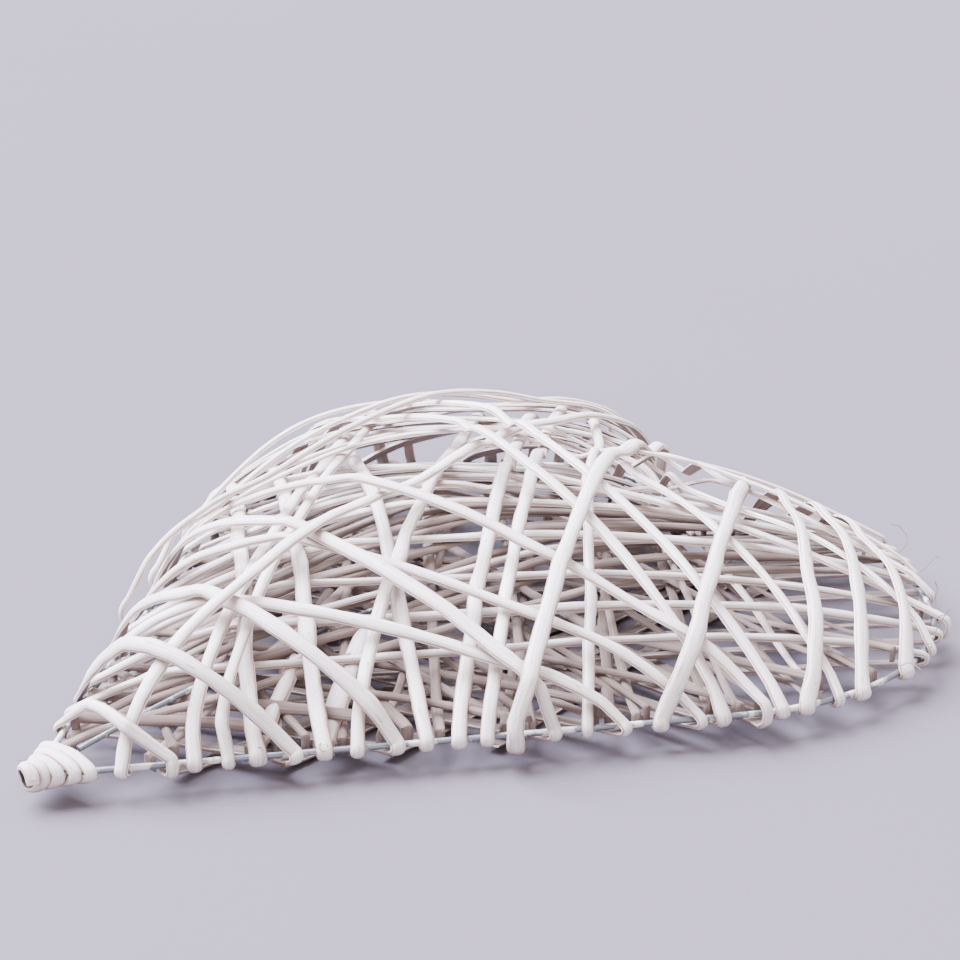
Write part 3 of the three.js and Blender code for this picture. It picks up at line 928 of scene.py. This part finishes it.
# %% Thin strips and stubs
THIN_STRIPS = [
    (-205, -437, 0.6), (-222, -428, 0.5), (-240, -418, 0.6), (-262, -404, 0.5), (-160, 366, 0.6),
    (-186, 379, 0.5), (-214, 337, 0.6), (-292, -396, 0.6), (-234, -398, 0.8), (-250, -387, 0.85),
    (-216, -406, 0.75),
]
THIN_WIDTH = 0.55
THIN_THICKNESS = 0.5
STUBS = [(77, -330, 62, 1.25), (59, -320, 46, 1.0)]
STUB_DEPTH = 2.5
STUB_FRAY = 4.5
loose = []
for i, (start, end, share) in enumerate(THIN_STRIPS):
    run = plan_pass(start, end)
    lift_pass(FRONT, run, needs_under(FRONT, run))
    run["lift"] = smooth(smooth(smooth(run["lift"]))) * share
    path = cane_path({"front": run, "back": None})
    draw = random.Random(f"thin {i}")
    loose.append(bend_cane(f"thin_strip_{i + 1}", path, draw, width=THIN_WIDTH, thickness=THIN_THICKNESS))


def stub_height(points):
    return np.maximum(dome_height(points) + SEAT - STUB_DEPTH, INNER_LOW)


for i, (start, end, length, width) in enumerate(STUBS):
    centres, normals = inner_path(start, end, stub_height)
    reach = np.concatenate(([0], np.cumsum(np.linalg.norm(np.diff(centres, axis=0), axis=1))))
    kept = reach < length
    draw = random.Random(f"stub {i}")
    loose.append(bend_cane(f"broken_stub_{i + 1}", (centres[kept], normals[kept]), draw, width=width,
                           thickness=1.0, fray=STUB_FRAY))
for piece in loose:
    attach(piece, "root")
print("thin strips and stubs:", len(loose))

# %% [markdown]
# ## Wires
#
# A wire is a line of points thickened to a round section, so a curve with a bevel is the natural way to
# make it. The rim wire follows the outline, and the ridge wire arches low from the tip to the cleft.

# %% Rim wire and ridge wire
RIDGE_WIRE_RADIUS = 0.8
RIDGE_RISE = 11
RIDGE_END_SHORT = 3.6
BINDING_PITCH = 3.4
BINDING_TURNS = 4.6
RIM_POINTS = 361
RIDGE_POINTS = 60
WIRE_SMOOTH_ANGLE = math.radians(50)


def wire_piece(name, points, radius, material=galvanised):
    """A round wire through a row of points, made as a curve and turned into a mesh."""
    data = bpy.data.curves.new(name, "CURVE")
    data.dimensions = "3D"
    data.bevel_depth = radius * MM
    data.bevel_resolution = 3
    data.use_fill_caps = True
    line = data.splines.new("POLY")
    line.points.add(len(points) - 1)
    line.points.foreach_set("co", np.column_stack((place(points), np.ones(len(points)))).ravel())
    piece = bpy.data.objects.new(name, data)
    bpy.context.scene.collection.objects.link(piece)
    bpy.ops.object.select_all(action="DESELECT")
    piece.select_set(True)
    bpy.context.view_layer.objects.active = piece
    bpy.ops.object.convert(target="MESH")
    bpy.ops.object.shade_smooth_by_angle(angle=WIRE_SMOOTH_ANGLE)
    piece.data.materials.append(material)
    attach(piece, "root")
    return piece


tip_gap = WIRE_CLEARANCE / math.sin(SIDE_ANGLE)
rim_points = []
for distance in np.linspace(tip_gap - HALF_LENGTH, HALF_LENGTH - tip_gap, RIM_POINTS):
    from_tip = -HALF_LENGTH - distance if distance < 0 else HALF_LENGTH - distance
    rim_points.append((*rim_at(from_tip)[0], 0))
rim_wire = wire_piece("galvanised_rim_wire", rim_points, RIM_WIRE_RADIUS)
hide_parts("rim_wire")
cleft = HALF[-1][1]
ridge_y = np.linspace(BINDING_PITCH * BINDING_TURNS, cleft - RIDGE_END_SHORT, RIDGE_POINTS)
ridge_z = 4 * RIDGE_RISE * (ridge_y / cleft) * (1 - ridge_y / cleft)
ridge_points = np.column_stack((np.zeros(RIDGE_POINTS), ridge_y, ridge_z))
ridge_wire = wire_piece("galvanised_ridge_wire", ridge_points, RIDGE_WIRE_RADIUS)
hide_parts("ridge_wire")
print("wire faces:", len(rim_wire.data.polygons), len(ridge_wire.data.polygons))

# %% [markdown]
# ## Tip binding
#
# A narrow cane is wound round the two wires where they meet. It is the same blank on a path of widening
# turns.

# %% Tip binding
BINDING_WIDTH = 3.8
BINDING_SLACK = 1.8
BINDING_START = -3
BINDING_THICKNESS = 0.55
BINDING_ROLL = 3.0
BINDING_SEED = 7
BINDING_POINTS = 160
turn = np.linspace(0, BINDING_TURNS, BINDING_POINTS)
binding_y = BINDING_START + BINDING_PITCH * turn
tall = SEAT + BINDING_SLACK
wide = np.maximum(binding_y, 0) * math.tan(SIDE_ANGLE) + tall
angle = 2 * math.pi * turn
binding_c = np.column_stack((wide * np.cos(angle), binding_y, tall * np.sin(angle)))
lean = -tall * math.tan(SIDE_ANGLE) * np.cos(angle) ** 2
binding_n = np.column_stack((tall * np.cos(angle), lean, wide * np.sin(angle)))
binding_n /= np.linalg.norm(binding_n, axis=1)[:, None]
binding = bend_cane("wound_tip_binding", (binding_c, binding_n), random.Random(BINDING_SEED),
                    width=BINDING_WIDTH / CANE_WIDTH, thickness=BINDING_THICKNESS, roll=BINDING_ROLL)
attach(binding, "root")
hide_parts("tip_binding")
bpy.data.objects.remove(blank)
print("binding turns:", BINDING_TURNS)

# %% [markdown]
# ## Loose fibres
#
# Hair-thin fibres have sprung away from the split edges, most of them round the lobe at the right. Each is
# a thread that wanders a little at every step.

# %% Loose fibres
FIBRE_STATIONS = [
    (253, 9), (268, 8), (281, 11), (289, 7), (305, 9), (331, 12), (352, 15), (60, 7), (77, 6), (-3, 6),
]
FIBRE_RADIUS = 0.13
FIBRE_STEPS = 20
FIBRE_WANDER = 0.22
FIBRE_RISE = 2.5
for i, (station, length) in enumerate(FIBRE_STATIONS):
    draw = random.Random(f"fibre {i}")
    foot, outward = rim_at(station)
    spot = np.array((*foot, FIBRE_RISE))
    heading = np.array((*outward, draw.uniform(0.3, 1.2)))
    thread = []
    for _ in range(FIBRE_STEPS):
        heading = heading / np.linalg.norm(heading)
        thread.append(spot)
        spot = spot + heading * length / FIBRE_STEPS
        heading = heading + np.array([draw.gauss(0, FIBRE_WANDER) for _ in range(3)])
    wire_piece(f"loose_fibre_{i + 1}", thread, FIBRE_RADIUS, split)
print("loose fibres:", len(FIBRE_STATIONS))

# %% [markdown]
# ## Smooth shading
#
# The rounded faces are shaded smooth, and the sharp edges along the flat faces and at the cut ends stay.

# %% Shading
CANE_SMOOTH_ANGLE = math.radians(40)
bpy.ops.object.select_all(action="DESELECT")
for piece in [*wound, *inner, *loose, binding]:
    piece.select_set(True)
bpy.context.view_layer.objects.active = binding
bpy.ops.object.shade_smooth_by_angle(angle=CANE_SMOOTH_ANGLE)
print("shaded smooth:", len(wound) + len(inner) + len(loose) + 1)

# %% [markdown]
# ## Floor and light
#
# A plain pale floor fills the view. A broad soft light from above and a little to the left makes the soft
# shadow under the near rim, and the world gives an even fill.

# %% Floor, light and world
FLOOR_SIZE = 12
bpy.ops.object.select_all(action="DESELECT")
bpy.ops.mesh.primitive_plane_add(size=FLOOR_SIZE)
floor = bpy.context.object
floor.name = "studio_floor"
matt, shader = new_material("pale_matt_paper")
paper_here = add_node(matt, "ShaderNodeTexCoord").outputs["Object"]
paper_noise = add_node(matt, "ShaderNodeTexNoise", {"Vector": paper_here, "Scale": 2.0}).outputs["Fac"]
paper = ramp(matt, paper_noise, 0.2, 0.8, colour("#66616c"), colour("#69646f"))
matt.node_tree.links.new(paper, shader.inputs["Base Color"])
shader.inputs["Roughness"].default_value = 0.9
shader.inputs["Specular IOR Level"].default_value = 0.2
floor.data.materials.append(matt)


def soft_sun(name, direction, power, softness, tint):
    """A light as broad as a softbox that fills a given angle of the sky, the same all over the floor."""
    bpy.ops.object.light_add(type="SUN", rotation=Vector(direction).to_track_quat("-Z", "Y").to_euler())
    light = bpy.context.object
    light.name = name
    light.data.energy = power
    light.data.color = colour(tint)[:3]
    light.data.angle = math.radians(softness)
    return light


soft_sun("soft_box_above", (0.68, 0.16, -0.92), 27.0, 55, "#eeeeff")
soft_sun("soft_fill_front", (-0.6, 0.7, -0.5), 0.8, 120, "#ffffff")
world = bpy.data.worlds.new("studio_fill")
world.use_nodes = True
world.node_tree.nodes["Background"].inputs["Color"].default_value = colour("#f0e3dc")
world.node_tree.nodes["Background"].inputs["Strength"].default_value = 2.1
bpy.context.scene.world = world

# %% [markdown]
# ## Last update
#
# The view layer is brought up to date. The dressed heart has to stay within the solids' own box.

# %% Update the scene
bpy.context.view_layer.update()
